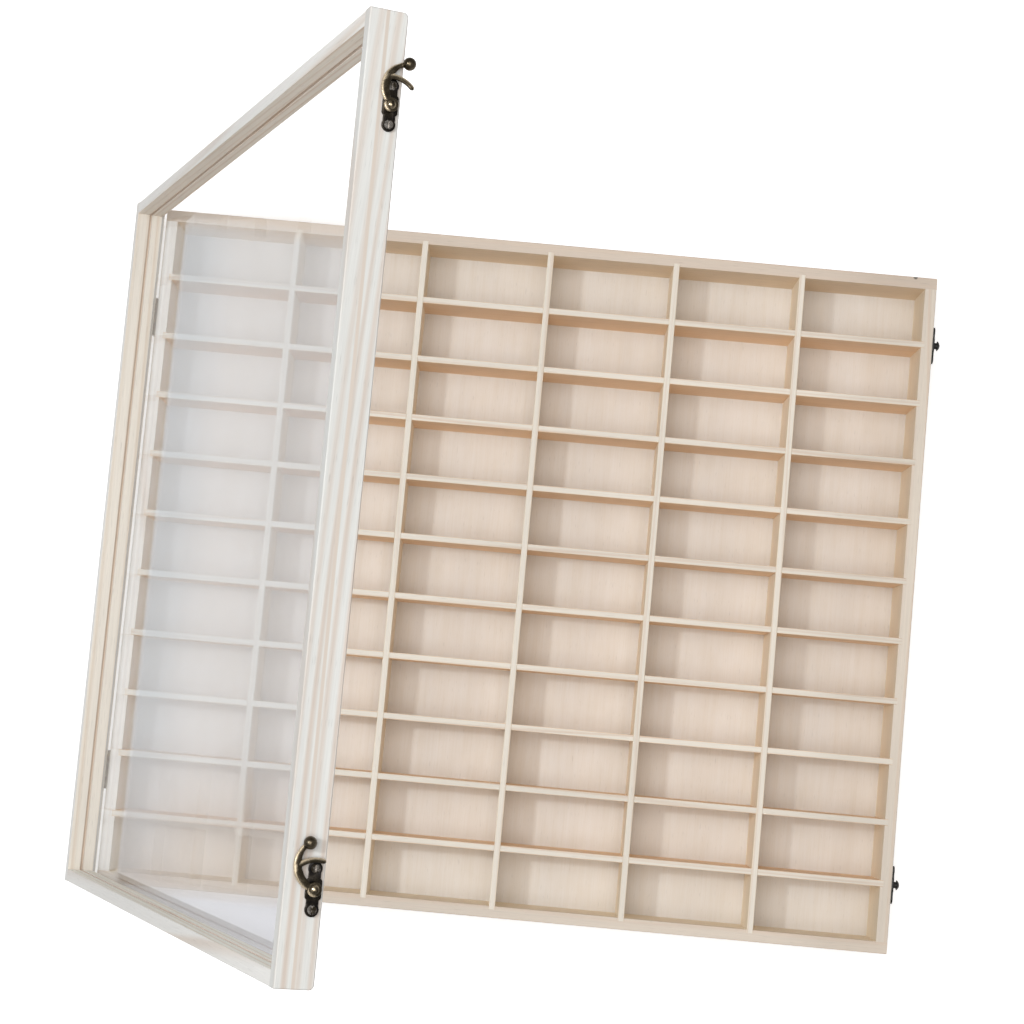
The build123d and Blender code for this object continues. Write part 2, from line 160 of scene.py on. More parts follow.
class CASE_PG_wood(PropertyGroup):
    tray_pale: colour("Tray early wood", "Pale bands of the tray's pine", (0.79, 0.72, 0.63))
    tray_late: colour("Tray late wood", "Darker lines of the tray's pine", (0.69, 0.55, 0.44))
    wall_pale: colour("Wall early wood", "Pale bands of the walls", (0.66, 0.555, 0.465))
    left_pale: colour("Left wall", "Pale bands of the left wall", (0.88, 0.86, 0.83))
    # The inner-face tones below paint light and shade set by each face's direction: the rows'
    # orange is painted shade and bounce light, the back wall's is painted shade, and the columns'
    # and the other walls' are painted light
    left_shading: colour("Left wall inside", "Tone of the left wall's inner face", (1.0, 1.0, 1.0))
    row_shading: colour("Row sides", "Tone of the row dividers' sides", (0.97, 0.67, 0.42))
    column_shading: colour("Column sides", "Tone of the column dividers' sides", (1.0, 0.88, 0.69))
    wall_shading: colour("Wall insides", "Tone of the walls' inner faces", (0.93, 0.77, 0.57))
    end_shading: colour("Front and right insides", "Tone of their inner faces", (1.0, 0.90, 0.72))
    lid_pale: colour("Free rail early wood", "Pale bands of the free rail", (0.62, 0.62, 0.605))
    rail_pale: colour("Lid early wood", "Pale bands of the rails", (0.77, 0.76, 0.74))
    stile_pale: colour("Hinge stile early wood", "Pale bands of the stile", (0.80, 0.80, 0.785))
    lid_late: colour("Free rail late wood", "Darker bands of the free rail", (0.54, 0.455, 0.395))
    rail_late: colour("Rail late wood", "Darker lines of the rails", (0.63, 0.545, 0.475))
    stile_late: colour("Stile late wood", "Darker lines of the stile", (0.70, 0.635, 0.57))
    # Painted warm shade on the lid boards' inner faces, set by their direction
    lid_shading: colour("Lid insides", "Tone of the lid's inner faces", (0.86, 0.775, 0.665))
    sunlit_tone: colour("Front rail inside", "Tone of its brighter inner face", (1.0, 1.0, 0.93))
    floor_pale: colour("Plywood", "Face veneer of the floor", (0.745, 0.705, 0.665))
    floor_dark: colour("Plywood fibre", "Darker fibres of the face veneer", (0.64, 0.56, 0.46))
    # The rails' and the stile's groove colours paint the light and shade in the grooves: a warm
    # lift of the shade on the rails, a darker line on the stile
    groove: colour("Rail groove", "Inside of the rails' grooves", (0.95, 0.73, 0.56))
    stile_groove: colour("Stile groove", "Inside of the stile's groove", (0.64, 0.52, 0.42))
    rail_groove: colour("Free rail groove", "Inside of its groove", (0.56, 0.495, 0.44))
    groove_rise: length("Groove rise", "Height of the groove over the latch's pivot", 4.8 * MM)
    ring_width: length("Ring width", "Spacing of the growth rings", 4.2 * MM)
    lid_ring_width: length("Lid ring width", "Spacing of the lid's growth rings", 6.4 * MM)
    lid_slant: FloatProperty(
        name="Lid slant", description="Slope of the free rail's grain at its middle", default=0.035
    )
    lid_bow: FloatProperty(
        name="Lid bow", description="Bow of the free rail's grain, per metre", default=0.08
    )
    roughness: share("Roughness", "Roughness of the sanded wood", 0.62)


class CASE_PG_panel(PropertyGroup):
    straight: colour("Straight through", "Colour seen straight through", (0.93, 0.945, 0.96))
    clear: colour("Clear", "Colour where the sheet is clean", (1.0, 1.0, 1.0))
    passing: colour("Passing light", "Colour of light that passes through", (0.94, 0.95, 0.96))
    film: colour("Film", "Colour under the thin film of dust", (0.73, 0.765, 0.81))
    # The next colours paint light and shade into the film: the low film beside the stile is a
    # painted shadow, the cloudiest colour and the colour past the tray's front are painted shade,
    # the foot and the colour above it are painted light over the left wall's shaded inner face,
    # and the corner is painted shade along the stile's foot
    low: colour("Low film", "Colour of the film beside the stile", (0.52, 0.585, 0.66))
    front_shade: colour("Haze", "Colour where the sheet is cloudiest", (0.41, 0.34, 0.30))
    past_front_shade: colour("Rim", "Colour of the film past the tray's front", (0.66, 0.67, 0.72))
    foot: colour("Foot", "Colour of the sheet beside the stile", (0.80, 0.87, 0.97))
    corner: colour("Corner", "Colour of the dust gathered along the stile", (0.50, 0.55, 0.63))
    above: colour("Above the foot", "Colour of the film just above it", (0.70, 0.83, 1.0))
    ior: FloatProperty(name="IOR", description="Refraction of the sheet", default=1.49)
    roughness: share("Roughness", "Roughness of the polished sheet", 0.015)


class CASE_PG_metal(PropertyGroup):
    bronze: colour("Bronze", "Aged plating in the hollows", (0.062, 0.050, 0.033))
    # Worn bronze is also the colour of the painted highlight along the lever's outer sides
    worn: colour("Worn bronze", "Plating rubbed bright on the high parts", (0.62, 0.51, 0.36))
    hinge: colour("Hinge", "Bright plating of the hinges", (0.42, 0.33, 0.21))
    strap: colour("Strap", "Blackened plating of the straps", (0.022, 0.020, 0.020))
    screw: colour("Screw", "Plating of the latch screws", (0.62, 0.58, 0.55))
    keeper: colour("Keeper", "Blackened steel of the keepers", (0.017, 0.0165, 0.016))
    keeper_speckle: colour("Keeper speckle", "Paler grains of that steel", (0.06, 0.057, 0.053))
    roughness: share("Roughness", "Roughness of the plating", 0.26)


class CASE_PG_latch(PropertyGroup):
    back_angle: FloatProperty(
        name="Back lever", description="Rest angle of the back lever from +Y",
        default=math.radians(-18), subtype="ANGLE",
    )
    front_angle: FloatProperty(
        name="Front lever", description="Rest angle of the front lever from +Y",
        default=math.radians(12), subtype="ANGLE",
    )
    hub_radius: length("Hub radius", "Radius of the lever's hub", 3.4 * MM)
    bore_radius: length("Bore radius", "Radius of the hole for the rivet", 1.26 * MM)
    thickness: length("Thickness", "Thickness of the lever", 1.8 * MM)
    lift: length("Lift", "Height of the lever's back over the rail", 1.55 * MM)
    reach: length("Reach", "Distance from the rivet to the ball", 20.9 * MM)
    rise: length("Rise", "How far the arm bows away from that line", 6.6 * MM)
    arm_width: length("Arm width", "Width of the arm at its middle", 4.1 * MM)
    neck_width: length("Neck width", "Width of the arm at the ball", 2.5 * MM)
    ball_radius: length("Ball radius", "Radius of the ball", 3.05 * MM)
    ball_lift: length("Ball lift", "Height of the ball's middle over the rail", 3.9 * MM)
    hook_radius: length("Hook radius", "Radius of the hook's middle line", 13.0 * MM)
    hook_width: length("Hook width", "Width of the hook", 2.6 * MM)


class CASE_PG_stage(PropertyGroup):
    floor_size: length("Floor size", "Side of the floor", 8.0)
    floor_colour: colour("Floor", "Colour of the floor", (0.86, 0.86, 0.87))
    sky: FloatProperty(name="Sky", description="Strength of the even light", default=0.36)
    sky_colour: colour("Sky colour", "Colour of the even light", (1.0, 0.985, 0.955))
    key: FloatProperty(name="Key light", description="Watts of the light at the left", default=8.2)
    key_size: length("Key size", "Width of the light at the left", 0.13)
    key_place: location("Key place", "Place of the light at the left", (-0.82, 0.08, 1.65))
    key_colour: colour("Key colour", "Colour of the light at the left", (0.95, 0.98, 1.0))
    top: FloatProperty(name="Top light", description="Watts of the light above", default=27.5)
    top_size: length("Top size", "Width of the broad light above", 1.6)
    top_place: location("Top place", "Place of the broad light above", (-0.13, -0.05, 2.3))
    top_colour: colour("Top colour", "Colour of the broad light above", (1.0, 0.985, 0.96))
    glow: FloatVectorProperty(
        name="Glow", description="Floor's glow for the camera, near the case and far from it",
        size=2, default=(0.5, 0.8), min=0,
    )
    glow_band: FloatVectorProperty(
        name="Glow band", description="Where the glow starts to rise and where it is full",
        size=2, default=(0.7, 1.8), unit="LENGTH",
    )
    mirrored: share("Mirrored", "Floor's glow as the metal and the panel mirror it", 0.12)
    camera: location("Camera", "Place of the camera", (0.001562, -0.099147, 1.577993))
    turn: FloatVectorProperty(
        name="Camera turn", description="Turn of the camera", size=3,
        default=(0.092055, -0.000611, 0.09089), subtype="EULER",
    )
    lens: FloatProperty(name="Lens", description="Focal length in millimetres", default=82.10)


class CASE_PG_case(PropertyGroup):
    wood: PointerProperty(type=CASE_PG_wood)
    panel: PointerProperty(type=CASE_PG_panel)
    metal: PointerProperty(type=CASE_PG_metal)
    latch: PointerProperty(type=CASE_PG_latch)
    stage: PointerProperty(type=CASE_PG_stage)


def settings():
    return bpy.context.scene.display_case


def add_node(tree, kind, inputs=None, **properties):
    """Makes a node. An input that is a socket is linked, and any other value is set."""
    node = tree.nodes.new(kind)
    for name, value in properties.items():
        setattr(node, name, value)
    for name, value in (inputs or {}).items():
        socket = node.inputs[name]
        if isinstance(value, bpy.types.NodeSocket):
            tree.links.new(value, socket)
        else:
            socket.default_value = value
    return node


def maths(tree, operation, first, second=0.0, third=0.0, clamp=False):
    inputs = {0: first, 1: second, 2: third}
    node = add_node(tree, "ShaderNodeMath", inputs, operation=operation, use_clamp=clamp)
    return node.outputs[0]


def times(tree, first, second):
    return maths(tree, "MULTIPLY", first, second)


def blend_colours(tree, factor, first, second, mode="MIX"):
    first, second = (
        tint if isinstance(tint, bpy.types.NodeSocket) else (*tint, 1.0)
        for tint in (first, second)
    )
    node = add_node(
        tree, "ShaderNodeMix", {0: factor, 6: first, 7: second},
        data_type="RGBA", blend_type=mode, clamp_factor=True,
    )
    return node.outputs[2]


def noise(tree, vector, scale, detail=2.0, roughness=0.5):
    inputs = {"Vector": vector, "Scale": scale, "Detail": detail, "Roughness": roughness}
    return add_node(tree, "ShaderNodeTexNoise", inputs).outputs["Fac"]


def remap(tree, value, from_low, from_high, to_low=0.0, to_high=1.0, smooth=False):
    node = add_node(
        tree,
        "ShaderNodeMapRange",
        {0: value, 1: from_low, 2: from_high, 3: to_low, 4: to_high},
        interpolation_type="SMOOTHSTEP" if smooth else "LINEAR",
        clamp=True,
    )
    return node.outputs[0]


def mix_values(tree, factor, first, second):
    inputs = {0: factor, 2: first, 3: second}
    return add_node(tree, "ShaderNodeMix", inputs, data_type="FLOAT").outputs[0]


def along(tree, vector, direction):
    inputs = {0: vector, 1: direction}
    node = add_node(tree, "ShaderNodeVectorMath", inputs, operation="DOT_PRODUCT")
    return node.outputs["Value"]


def split(tree, vector):
    return add_node(tree, "ShaderNodeSeparateXYZ", {0: vector}).outputs


def darken(tree, base, shade):
    grey = add_node(tree, "ShaderNodeCombineXYZ", {0: shade, 1: shade, 2: shade}).outputs[0]
    return blend_colours(tree, 1.0, base, grey, "MULTIPLY")


def bumped(tree, height, strength, distance):
    inputs = {"Height": height, "Strength": strength, "Distance": distance}
    return add_node(tree, "ShaderNodeBump", inputs).outputs[0]


def stretch(tree, vector, scale):
    return add_node(tree, "ShaderNodeMapping", {"Vector": vector, "Scale": scale}).outputs[0]


def new_group(name, inputs, outputs):
    tree = bpy.data.node_groups.new(name, "ShaderNodeTree")
    for socket, kind, default in inputs:
        item = tree.interface.new_socket(name=socket, in_out="INPUT", socket_type=kind)
        if default is not None:
            item.default_value = default
    for socket, kind in outputs:
        tree.interface.new_socket(name=socket, in_out="OUTPUT", socket_type=kind)
    start = tree.nodes.new("NodeGroupInput")
    end = tree.nodes.new("NodeGroupOutput")
    return tree, start.outputs, end.inputs


def use_group(tree, group, inputs):
    return add_node(tree, "ShaderNodeGroup", inputs, node_tree=group).outputs


def pine_grain_group():
    """Growth rings, fibres and slow tone changes of a board whose grain runs along X."""
    name = "Pine grain"
    if name in bpy.data.node_groups:
        return bpy.data.node_groups[name]
    tree, given, result = new_group(
        name,
        [
            ("Vector", "NodeSocketVector", None),
            ("Ring Width", "NodeSocketFloat", 0.004),
            ("Wander", "NodeSocketFloat", 0.028),
            ("Pith", "NodeSocketVector", (0.0, 0.05, -0.08)),
            ("Softness", "NodeSocketFloat", 0.0),
        ],
        [
            ("Late Wood", "NodeSocketFloat"),
            ("Fibre", "NodeSocketFloat"),
            ("Tone", "NodeSocketFloat"),
            ("Pores", "NodeSocketFloat"),
        ],
    )
    vector = given["Vector"]
    moved = add_node(
        tree, "ShaderNodeVectorMath", {0: vector, 1: given["Pith"]}, operation="SUBTRACT"
    ).outputs[0]
    slow = stretch(tree, moved, (1.6, 14.0, 14.0))
    wander = maths(tree, "SUBTRACT", noise(tree, slow, 1.0, 2.0, 0.45), 0.5)
    apart = split(tree, moved)
    squares = times(tree, apart[2], apart[2])
    squares = maths(tree, "MULTIPLY_ADD", apart[1], apart[1], squares)
    radius = maths(tree, "SQRT", squares)
    radius = maths(tree, "MULTIPLY_ADD", wander, given["Wander"], radius)
    rings = maths(tree, "DIVIDE", radius, given["Ring Width"])
    spread = noise(tree, stretch(tree, moved, (0.6, 60.0, 60.0)), 1.0, 1.0)
    rings = maths(tree, "MULTIPLY_ADD", spread, 1.2, rings)
    phase = maths(tree, "FRACT", rings)
    rise = remap(tree, phase, 0.5, 0.86, smooth=True)
    fall = remap(tree, phase, 0.88, 1.0, 1.0, 0.0)
    sharp = times(tree, rise, fall)
    rise = remap(tree, phase, 0.22, 0.62, smooth=True)
    fall = remap(tree, phase, 0.66, 0.98, 1.0, 0.0, smooth=True)
    soft = times(tree, rise, fall)
    late = mix_values(tree, given["Softness"], sharp, soft)
    strength = noise(tree, stretch(tree, moved, (2.0, 90.0, 90.0)), 1.0, 1.0)
    strength = remap(tree, strength, 0.3, 0.7, 0.35, 1.0)
    tree.links.new(times(tree, late, strength), result["Late Wood"])
    fibre = noise(tree, stretch(tree, moved, (35.0, 1500.0, 1500.0)), 1.0, 3.0, 0.6)
    tree.links.new(fibre, result["Fibre"])
    tone = noise(tree, stretch(tree, moved, (3.0, 22.0, 22.0)), 1.0, 3.0, 0.55)
    tree.links.new(tone, result["Tone"])
    pores = noise(tree, stretch(tree, moved, (110.0, 2600.0, 2600.0)), 1.0, 0.0)
    tree.links.new(remap(tree, pores, 0.70, 0.80), result["Pores"])
    return tree


def end_grain_group():
    """Rings as they show on a board's sawn end."""
    name = "End grain"
    if name in bpy.data.node_groups:
        return bpy.data.node_groups[name]
    tree, given, result = new_group(
        name,
        [
            ("Vector", "NodeSocketVector", None),
            ("Normal", "NodeSocketVector", None),
            ("Along", "NodeSocketVector", (1.0, 0.0, 0.0)),
        ],
        [("Mask", "NodeSocketFloat"), ("Speckle", "NodeSocketFloat")],
    )
    facing = along(tree, given["Normal"], given["Along"])
    mask = remap(tree, maths(tree, "ABSOLUTE", facing), 0.72, 0.9, smooth=True)
    tree.links.new(mask, result["Mask"])
    speckle = noise(tree, given["Vector"], 2200.0, 2.0, 0.7)
    tree.links.new(speckle, result["Speckle"])
    return tree


def new_material(name):
    material = bpy.data.materials.new(name)
    material.use_nodes = True
    tree = material.node_tree
    tree.nodes.clear()
    output = tree.nodes.new("ShaderNodeOutputMaterial")
    coordinates = tree.nodes.new("ShaderNodeTexCoord")
    return material, tree, output, coordinates.outputs


def principled(tree, inputs, output=None):
    surface = add_node(tree, "ShaderNodeBsdfPrincipled", inputs).outputs[0]
    if output:
        tree.links.new(surface, output.inputs[0])
    return surface


def oriented(tree, coordinate, direction):
    """Turns a point or a normal so that a board's length runs along X and its height along Z."""
    turns = {
        "x": (0, 0, 0),
        "y": (0, 0, -math.pi / 2),
        "lid_x": (0, LID_TILT, 0),
        "lid_y": (0, LID_TILT, -math.pi / 2),
    }
    inputs = {"Vector": coordinate, "Rotation": turns[direction]}
    return add_node(tree, "ShaderNodeMapping", inputs, vector_type="POINT").outputs[0]


def bent(tree, vector, slant, bow):
    """Lets the grain slant and bow across the board's height."""
    apart = split(tree, vector)
    slope = maths(tree, "MULTIPLY_ADD", apart[0], bow, slant)
    height = maths(tree, "MULTIPLY_ADD", apart[0], slope, apart[2])
    return add_node(tree, "ShaderNodeCombineXYZ", {0: apart[0], 1: apart[1], 2: height}).outputs[0]


def pine_material(
    name, direction, pith, pale, late, ring_width, inner, tone, both_ways=False,
    bend=None, groove=None, mark=None, softness=0.0,
):
    """Sanded pine. Faces that look along inner, or for a strip both ways along it, have a painted
    shading: light and shade set by their direction. Bend is the grain's slant and bow, groove the
    height and colour of a groove, and mark the place of a dark spot in the wood. Softness makes
    the rings broad and faint."""
    material, tree, output, given = new_material(name)
    wood = settings().wood
    vector = oriented(tree, given["Object"], direction)
    normal = oriented(tree, given["Normal"], direction)
    grown = bent(tree, vector, *bend) if bend else vector
    grain = use_group(
        tree,
        pine_grain_group(),
        {
            "Vector": grown,
            "Ring Width": ring_width,
            "Wander": 0.006 if bend else 0.028,
            "Pith": pith,
            "Softness": softness,
        },
    )
    end = use_group(tree, end_grain_group(), {"Vector": vector, "Normal": normal})
    base = blend_colours(tree, remap(tree, grain["Late Wood"], 0, 1, 0, 0.85), pale, late)
    # Faces that look along inner take painted shading: light and shade set by their direction
    facing = along(tree, given["Normal"], inner)
    if both_ways:
        facing = maths(tree, "ABSOLUTE", facing)
    facing = remap(tree, facing, 0.5, 0.8)
    if bend:
        ratio = tuple(
            (SHADING_SHARE * deep + (1 - SHADING_SHARE) * light) / light
            for deep, light in zip(tone, pale)
        )
        inside = blend_colours(tree, 1.0, base, ratio, "MULTIPLY")
    else:
        inside = blend_colours(tree, 1 - SHADING_SHARE, tone, base)
    base = blend_colours(tree, facing, base, inside)
    slow = remap(tree, grain["Tone"], 0.3, 0.7, 0.93, 1.05)
    fibre = remap(tree, grain["Fibre"], 0.3, 0.7, 0.95, 1.04)
    shade = times(tree, slow, fibre)
    pores = remap(tree, grain["Pores"], 0, 1, 1.0, 0.86)
    shade = times(tree, shade, pores)
    ends = remap(tree, end["Speckle"], 0.3, 0.7, 0.66, 0.88)
    ends = times(tree, ends, remap(tree, grain["Late Wood"], 0, 1, 1.0, 0.82))
    base = darken(tree, base, mix_values(tree, end["Mask"], shade, ends))
    # A band at the groove's height takes the groove's colour, which on the rails and the stile
    # paints the light and shade in the groove
    if groove is not None:
        height, colour_inside = groove
        away = maths(tree, "SUBTRACT", split(tree, vector)[2], height)
        away = maths(tree, "ABSOLUTE", away)
        inside = remap(tree, away, GROOVE_HALF, GROOVE_END, 1.0, 0.0)
        base = blend_colours(tree, inside, base, colour_inside)
    if mark is not None:
        away = add_node(
            tree, "ShaderNodeVectorMath", {0: given["Object"], 1: mark}, operation="DISTANCE"
        ).outputs["Value"]
        spot = remap(tree, away, MARK_RADIUS, MARK_END, 1.0, 0.0)
        base = blend_colours(tree, spot, base, MARK_COLOUR)
    relief = times(tree, grain["Late Wood"], 0.5)
    relief = maths(tree, "MULTIPLY_ADD", grain["Fibre"], 0.6, relief)
    rough = wood.roughness
    principled(
        tree,
        {
            "Base Color": base,
            "Roughness": remap(tree, grain["Fibre"], 0.3, 0.7, rough - 0.06, rough + 0.1),
            "Specular IOR Level": 0.32,
            "Normal": bumped(tree, relief, 0.25, 0.2 * MM),
        },
        output,
    )
    return material


def plywood_material():
    """Sanded plywood with its fine fibres running across the case."""
    material, tree, output, given = new_material("Floor plywood")
    wood = settings().wood
    vector = given["Object"]
    fine = noise(tree, stretch(tree, vector, (1400.0, 40.0, 400.0)), 1.0, 3.0, 0.65)
    medium = noise(tree, stretch(tree, vector, (240.0, 9.0, 60.0)), 1.0, 2.0, 0.55)
    slow = noise(tree, stretch(tree, vector, (24.0, 5.0, 10.0)), 1.0, 3.0, 0.5)
    flecks = noise(tree, stretch(tree, vector, (900.0, 160.0, 300.0)), 1.0, 1.0)
    patches = noise(tree, stretch(tree, vector, (42.0, 30.0, 30.0)), 1.0, 3.0, 0.6)
    amount = times(tree, remap(tree, medium, 0.4, 0.8), 0.22)
    amount = maths(tree, "MULTIPLY_ADD", remap(tree, fine, 0.45, 0.8), 0.25, amount)
    amount = maths(tree, "MULTIPLY_ADD", remap(tree, patches, 0.35, 0.7), 0.25, amount)
    base = blend_colours(tree, amount, wood.floor_pale, wood.floor_dark)
    shade = remap(tree, slow, 0.3, 0.7, 0.95, 1.04)
    shade = times(tree, shade, remap(tree, flecks, 0.66, 0.8, 1.0, 0.9))
    rough = wood.roughness
    principled(
        tree,
        {
            "Base Color": darken(tree, base, shade),
            "Roughness": remap(tree, medium, 0.3, 0.7, rough - 0.04, rough + 0.08),
            "Specular IOR Level": 0.3,
            "Normal": bumped(tree, fine, 0.2, 0.2 * MM),
        },
        output,
    )
    return material


def panel_film(tree, given, panel):
    """The film of dust, with bands of painted shade and light: its colour, and the share of the
    light that it meets.
    """
    apart = split(tree, given["Object"])
    # Painted shade towards the sheet's front, wandering by a noise
    drift = noise(tree, given["Object"], 9.0, 2.0)
    front = maths(tree, "MULTIPLY_ADD", drift, FRONT_SHADE_DRIFT, apart[1])
    front_shade_mask = remap(tree, front, *FRONT_SHADE_BAND, smooth=True)
    back = maths(tree, "MULTIPLY_ADD", apart[2], CLEAN_LEAN, apart[1])
    clean = remap(tree, back, *CLEAN_BAND, smooth=True)
    # Past the tray's front the film paints shade on what shows through
    past = maths(tree, "MULTIPLY_ADD", apart[2], PAST_LEAN, apart[1])
    past = remap(tree, past, *PAST_BAND)
    height = along(tree, given["Object"], LID_ALONG)
    height = maths(tree, "SUBTRACT", height, LID_ALONG.dot(HINGE_PLACE))
    # Low on the sheet a painted shadow beside the stile; the foot band and the band above it paint
    # light over the left wall's shaded inner face, and the corner band paints shade along the
    # stile's foot
    low = remap(tree, height, *STILE_SHADOW_BAND, 1.0, 0.0, smooth=True)
    edge = remap(tree, height, *FOOT_BAND, 1.0, 0.0, smooth=True)
    above = remap(tree, height, *FACE_LIGHT_BAND, smooth=True)
    corner = remap(tree, height, *STILE_FOOT_SHADE_BAND, 1.0, 0.0, smooth=True)
    beside = blend_colours(tree, above, panel.foot, panel.above)
    beside = blend_colours(tree, corner, beside, panel.corner)
    tint = blend_colours(tree, low, panel.film, panel.low)
    tint = blend_colours(tree, front_shade_mask, tint, panel.front_shade)
    tint = blend_colours(tree, edge, tint, beside)
    tint = blend_colours(tree, past, tint, panel.past_front_shade)
    tint = blend_colours(tree, clean, tint, panel.clear)
    thin = remap(tree, apart[1], *THIN_BAND, smooth=True)
    thin = times(tree, thin, remap(tree, height, *THIN_HEIGHTS, smooth=True))
    thin = times(tree, thin, maths(tree, "SUBTRACT", 1.0, past))
    dusty = mix_values(tree, edge, 1.0, FOOT_COVER)
    dusty = times(tree, dusty, mix_values(tree, thin, 1.0, THIN_COVER))
    dusty = times(tree, dusty, mix_values(tree, clean, 1.0, CLEAN_COVER))
    return tint, dusty


def panel_material():
    """Clear sheet, whose film of dust, with its bands of painted shade and light, shows along a
    slant. Light from the lamps passes straight through it."""
    material, tree, output, given = new_material("Clear panel")
    panel = settings().panel
    tint, dusty = panel_film(tree, given, panel)
    facing = add_node(tree, "ShaderNodeLayerWeight", {"Blend": 0.5}).outputs["Facing"]
    inside = add_node(tree, "ShaderNodeNewGeometry").outputs["Backfacing"]
    near = remap(tree, facing, *NEAR_SLANT, smooth=True)
    far = remap(tree, facing, *FAR_SLANT, smooth=True)
    slanting = mix_values(tree, inside, near, far)
    tint = blend_colours(tree, slanting, panel.straight, tint)
    dusty = mix_values(tree, slanting, 1.0, dusty)
    passed = maths(tree, "GREATER_THAN", facing, STRAIGHT_FACING)
    passed = times(tree, inside, passed)
    dusty = times(tree, dusty, maths(tree, "SUBTRACT", 1.0, passed))
    surface = principled(
        tree,
        {
            "Base Color": tint,
            "Roughness": panel.roughness,
            "IOR": panel.ior,
            "Transmission Weight": 1.0,
            "Alpha": dusty,
        },
    )
    clear = add_node(tree, "ShaderNodeBsdfTransparent", {"Color": (*panel.passing, 1.0)})
    path = tree.nodes.new("ShaderNodeLightPath")
    for light in ("Is Shadow Ray", "Is Diffuse Ray"):
        mix = add_node(tree, "ShaderNodeMixShader", {0: path.outputs[light]})
        tree.links.new(surface, mix.inputs[1])
        tree.links.new(clear.outputs[0], mix.inputs[2])
        surface = mix.outputs[0]
    tree.links.new(surface, output.inputs[0])
    return material


def plated_material(name, dark, worn, roughness, amount, rubbed_highlight_sides=False):
    """Aged plating, rubbed bright in patches, and along the sides that a piece has marked, where
    the bright colour is rubbed wear and also a painted highlight.
    """
    material, tree, output, given = new_material(name)
    vector = given["Object"]
    broad = noise(tree, vector, 260.0, 3.0, 0.6)
    fine = noise(tree, vector, 2400.0, 2.0, 0.6)
    rubbed = remap(tree, broad, 0.42, 0.68, 0.0, amount)
    metallic = 1.0
    if rubbed_highlight_sides:
        # The marked sides carry rubbed wear and a painted highlight, and are less metallic
        side = add_node(tree, "ShaderNodeAttribute", attribute_name=RUBBED_HIGHLIGHT).outputs["Fac"]
        side = remap(tree, side, 0.35, 1.0, smooth=True)
        rubbed = maths(tree, "MULTIPLY_ADD", rubbed, 0.3, side, clamp=True)
        metallic = remap(tree, rubbed, 0.0, 1.0, 1.0, 0.45)
    rubbed = times(tree, rubbed, remap(tree, fine, 0.3, 0.7, 0.7, 1.1))
    principled(
        tree,
        {
            "Base Color": blend_colours(tree, rubbed, dark, worn),
            "Metallic": metallic,
            "Roughness": remap(tree, fine, 0.3, 0.7, roughness - 0.06, roughness + 0.12),
            "Normal": bumped(tree, fine, 0.15, 0.08 * MM),
        },
        output,
    )
    return material


def black_material():
    """Blackened steel with a fine speckle."""
    material, tree, output, given = new_material("Keeper black")
    metal = settings().metal
    fine = noise(tree, given["Object"], 1800.0, 3.0, 0.6)
    speckle = remap(tree, fine, 0.55, 0.8, 0.0, 0.4)
    principled(
        tree,
        {
            "Base Color": blend_colours(tree, speckle, metal.keeper, metal.keeper_speckle),
            "Metallic": 0.4,
            "Roughness": remap(tree, fine, 0.3, 0.7, 0.34, 0.5),
            "Normal": bumped(tree, fine, 0.2, 0.1 * MM),
        },
        output,
    )
    return material


def cover(node, material):
    """Gives a CAD node's object one finish."""
    obj = frame["nodes"][node]
    if not obj.material_slots:
        obj.data.materials.append(material)
    for held in obj.material_slots:
        held.material = material


def in_scene(name, data):
    obj = bpy.data.objects.new(name, data)
    bpy.context.scene.collection.objects.link(obj)
    return obj


def as_object(name, source):
    """Puts a bmesh into the scene and frees it."""
    mesh = bpy.data.meshes.new(name)
    source.to_mesh(mesh)
    source.free()
    return in_scene(name, mesh)


def new_piece(name, source, material, body, node):
    """Turns a bmesh into a piece that stands for a CAD node and rides on its body."""
    piece = as_object(name, source)
    piece.data.materials.append(material)
    for face in piece.data.polygons:
        face.use_smooth = True
    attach(piece, body)
    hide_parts(node)
    return piece


def rounded_copy(node, name, body, material, width):
    """A copy of a CAD node with its sharp edges eased."""
    mesh = bmesh.new()
    mesh.from_mesh(frame["nodes"][node].data)
    bmesh.ops.remove_doubles(mesh, verts=mesh.verts, dist=0.001 * MM)
    bmesh.ops.dissolve_limit(mesh, angle_limit=math.radians(1), verts=mesh.verts, edges=mesh.edges)
    piece = new_piece(name, mesh, material, body, node)
    bevel = piece.modifiers.new("Eased edges", "BEVEL")
    bevel.width = width
    bevel.segments = 2
    bevel.limit_method = "ANGLE"
    bevel.angle_limit = math.radians(30)
    bevel.harden_normals = True


# The latch lever
def section_ring(mesh, half_width, half_height, steps):
    """A rounded flat section, standing across X."""
    ring = bmesh.ops.create_circle(mesh, cap_ends=False, segments=steps, radius=1.0)["verts"]
    for vert in ring:
        side, height = vert.co.x, vert.co.y
        fullness = max(abs(side), abs(height)) ** SQUARENESS
        vert.co = Vector((0.0, side * fullness * half_width, height * fullness * half_height))
    return ring


def sweep(mesh, stations, steps=16):
    """Draws a rounded section through stations of (point, heading, half width, half height)."""
    rings = []
    for point, heading, half_width, half_height in stations:
        ring = section_ring(mesh, half_width, half_height, steps)
        bmesh.ops.rotate(mesh, verts=ring, cent=(0, 0, 0), matrix=Matrix.Rotation(heading, 3, "Z"))
        bmesh.ops.translate(mesh, verts=ring, vec=point)
        edges = {edge for vert in ring for edge in vert.link_edges}
        rings.append(list(edges))
    for first, second in zip(rings, rings[1:]):
        bmesh.ops.bridge_loops(mesh, edges=first + second)
    for edges in (rings[0], rings[-1]):
        bmesh.ops.contextual_create(mesh, geom=edges)


